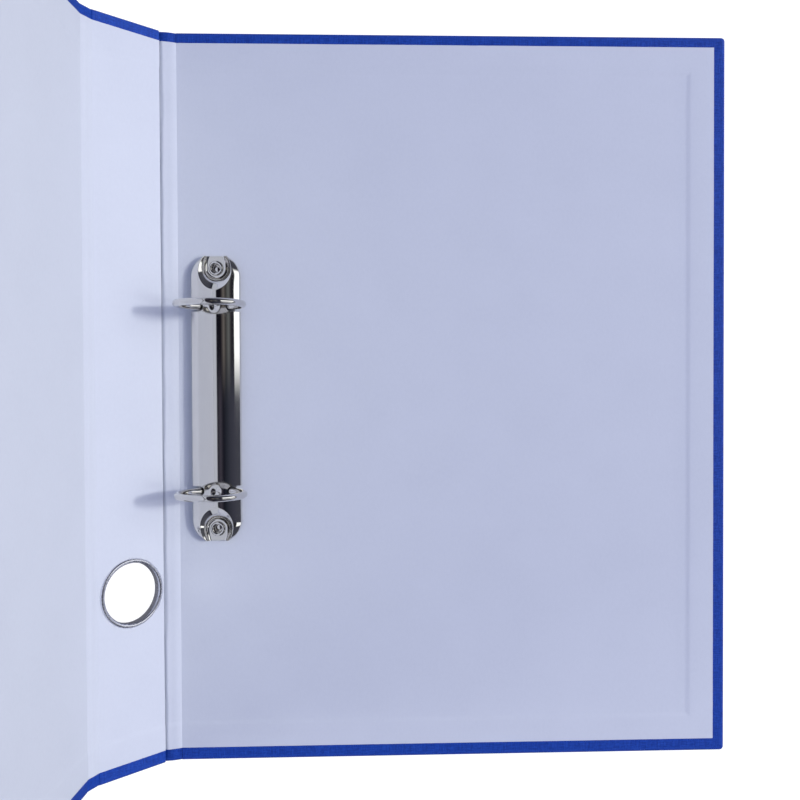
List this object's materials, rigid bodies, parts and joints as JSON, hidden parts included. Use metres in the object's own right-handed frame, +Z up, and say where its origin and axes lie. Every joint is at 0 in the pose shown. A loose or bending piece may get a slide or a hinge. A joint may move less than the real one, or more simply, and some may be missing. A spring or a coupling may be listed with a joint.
{
  "type": "ring binder",
  "caption": "Open lever-free ring binder with hinged board covers, a thumb-hole eyelet in the spine and split rings on an arched plate for punched sheets.",
  "frame": {"origin": "midway between the two rings, on the outer face of the back cover it rests on", "axes": "+X from the spine to the back cover's fore edge, +Y along the spine to the head, +Z up out of the back cover"},
  "size_m": [0.2931, 0.3186, 0.2754],
  "materials": {
    "greyboard": "matte",
    "covering": "satin",
    "lining": "matte",
    "ring_metal": "polished",
    "blade_steel": "satin"
  },
  "bodies": {
    "back_cover": {"back_board": "greyboard", "back_cover_cloth": "covering", "back_lining": "lining", "ring_plate": "ring_metal", "upper_rivet": "ring_metal", "lower_rivet": "ring_metal"},
    "back_hinge": {"back_hinge_cloth": "covering", "back_hinge_lining": "lining"},
    "spine": {"spine_board": "greyboard", "spine_cloth": "covering", "spine_lining": "lining", "thumb_eyelet": "ring_metal", "thumb_eyelet_ring": "ring_metal"},
    "front_hinge": {"front_hinge_cloth": "covering", "front_hinge_lining": "lining"},
    "front_cover": {"front_board": "greyboard", "front_cover_cloth": "covering", "front_lining": "lining"},
    "left_jaw": {"left_blade": "blade_steel", "upper_left_half_ring": "ring_metal", "lower_left_half_ring": "ring_metal"},
    "right_jaw": {"right_blade": "blade_steel", "upper_right_half_ring": "ring_metal", "lower_right_half_ring": "ring_metal"}
  },
  "joints": [
    {"name": "back_hinge_fold", "type": "hinge", "parent": "back_cover", "child": "back_hinge", "pos_m": [-0.0171, 0, 0.0003], "axis": [0, 1, 0], "range_deg": [-22.5, 22.5]},
    {"name": "spine_fold", "type": "hinge", "parent": "back_hinge", "child": "spine", "pos_m": [-0.02449, 0, 0.00336], "axis": [0, 1, 0], "range_deg": [-22.5, 22.5]},
    {"name": "front_hinge_fold", "type": "hinge", "parent": "spine", "child": "front_hinge", "pos_m": [-0.04726, 0, 0.02613], "axis": [0, 1, 0], "range_deg": [-20.5, 24.5]},
    {"name": "front_cover_fold", "type": "hinge", "parent": "front_hinge", "child": "front_cover", "pos_m": [-0.05058, 0, 0.03341], "axis": [0, 1, 0], "range_deg": [-20.5, 24.5]},
    {"name": "left_ring_swing", "type": "hinge", "parent": "back_cover", "child": "left_jaw", "pos_m": [-0.0082, 0, 0.00375], "axis": [0, -1, 0], "range_deg": [0, 13]},
    {"name": "right_ring_swing", "type": "hinge", "parent": "back_cover", "child": "right_jaw", "pos_m": [0.0082, 0, 0.00375], "axis": [0, -1, 0], "range_deg": [-13, 0]}
  ],
  "couplings": [
    {"joint": "spine_fold", "follows": "back_hinge_fold", "ratio": 1},
    {"joint": "front_cover_fold", "follows": "front_hinge_fold", "ratio": 1},
    {"joint": "right_ring_swing", "follows": "left_ring_swing", "ratio": -1}
  ]
}
